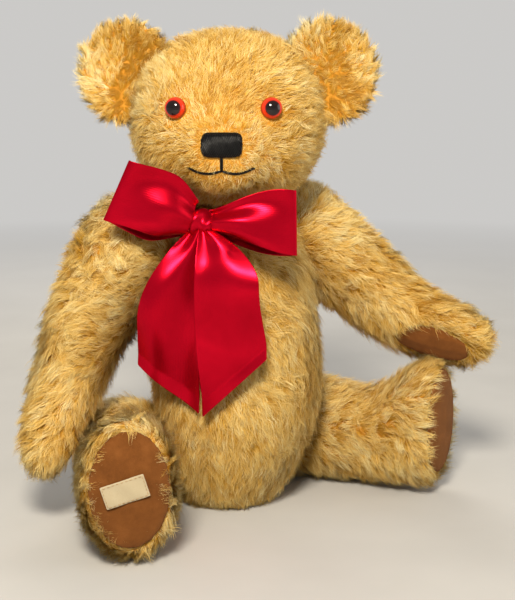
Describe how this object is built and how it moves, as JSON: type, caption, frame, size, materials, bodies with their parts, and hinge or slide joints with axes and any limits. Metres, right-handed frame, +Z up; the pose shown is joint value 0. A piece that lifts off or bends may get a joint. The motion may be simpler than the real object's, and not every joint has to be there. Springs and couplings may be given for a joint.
{
  "type": "jointed teddy bear",
  "caption": "Sitting mohair teddy bear with a turning head, swinging arms and legs on disc joints, felt paws and a satin neck bow.",
  "frame": {"origin": "on the floor, under the neck's turning axis", "axes": "+Z up, the torso faces -Y, the bear's left side is +X"},
  "size_m": [0.3318, 0.1805, 0.3584],
  "materials": {
    "mohair": "long wavy golden mohair pile",
    "stuffing": "packed wool and fibre",
    "felt": "brown wool felt",
    "thread": "black embroidery thread",
    "eye": "polished dome, orange ring and dark pupil",
    "steel": "bright zinc plated",
    "hardboard": "brown hardboard",
    "satin": "crimson satin ribbon",
    "label": "plain woven tape"
  },
  "bodies": {
    "torso": {"torso_shell": "mohair", "torso_stuffing": "stuffing", "neck_ribbon": "satin", "neck_torso_disc": "hardboard", "neck_torso_washer": "steel", "shoulder_left_torso_disc": "hardboard", "shoulder_left_torso_washer": "steel", "shoulder_right_torso_disc": "hardboard", "shoulder_right_torso_washer": "steel", "hip_left_torso_disc": "hardboard", "hip_left_torso_washer": "steel", "hip_right_torso_disc": "hardboard", "hip_right_torso_washer": "steel"},
    "head": {"head_shell": "mohair", "head_stuffing": "stuffing", "ear_left": "mohair", "ear_right": "mohair", "eye_left": "eye", "eye_right": "eye", "eye_washer_left": "steel", "eye_washer_right": "steel", "nose_stitching": "thread", "mouth_stitching": "thread", "neck_limb_disc": "hardboard", "neck_limb_washer": "steel", "neck_cotter_pin": "steel"},
    "arm_left": {"arm_left_shell": "mohair", "arm_left_stuffing": "stuffing", "paw_pad_left": "felt", "shoulder_left_limb_disc": "hardboard", "shoulder_left_limb_washer": "steel", "shoulder_left_cotter_pin": "steel"},
    "leg_left": {"leg_left_shell": "mohair", "leg_left_stuffing": "stuffing", "foot_pad_left": "felt", "hip_left_limb_disc": "hardboard", "hip_left_limb_washer": "steel", "hip_left_cotter_pin": "steel"},
    "arm_right": {"arm_right_shell": "mohair", "arm_right_stuffing": "stuffing", "paw_pad_right": "felt", "shoulder_right_limb_disc": "hardboard", "shoulder_right_limb_washer": "steel", "shoulder_right_cotter_pin": "steel"},
    "leg_right": {"leg_right_shell": "mohair", "leg_right_stuffing": "stuffing", "foot_pad_right": "felt", "foot_label": "label", "hip_right_limb_disc": "hardboard", "hip_right_limb_washer": "steel", "hip_right_cotter_pin": "steel"}
  },
  "joints": [
    {"name": "neck_turn", "type": "hinge", "parent": "torso", "child": "head", "pos_m": [0, 0, 0.2307], "axis": [0, 0, 1], "continuous": true},
    {"name": "shoulder_left", "type": "hinge", "parent": "torso", "child": "arm_left", "pos_m": [0.05, 0.008, 0.188], "axis": [-0.8373, -0.3047, -0.454], "range_deg": [0, 70]},
    {"name": "shoulder_right", "type": "hinge", "parent": "torso", "child": "arm_right", "pos_m": [-0.05, 0.008, 0.188], "axis": [-0.8373, 0.3047, 0.454], "range_deg": [-90, 15]},
    {"name": "hip_left", "type": "hinge", "parent": "torso", "child": "leg_left", "pos_m": [0.048, 0.02, 0.041], "axis": [0.887, 0.4617, 0], "range_deg": [0, 90]},
    {"name": "hip_right", "type": "hinge", "parent": "torso", "child": "leg_right", "pos_m": [-0.048, 0.02, 0.041], "axis": [0.887, -0.4617, 0], "range_deg": [-10, 90]}
  ]
}
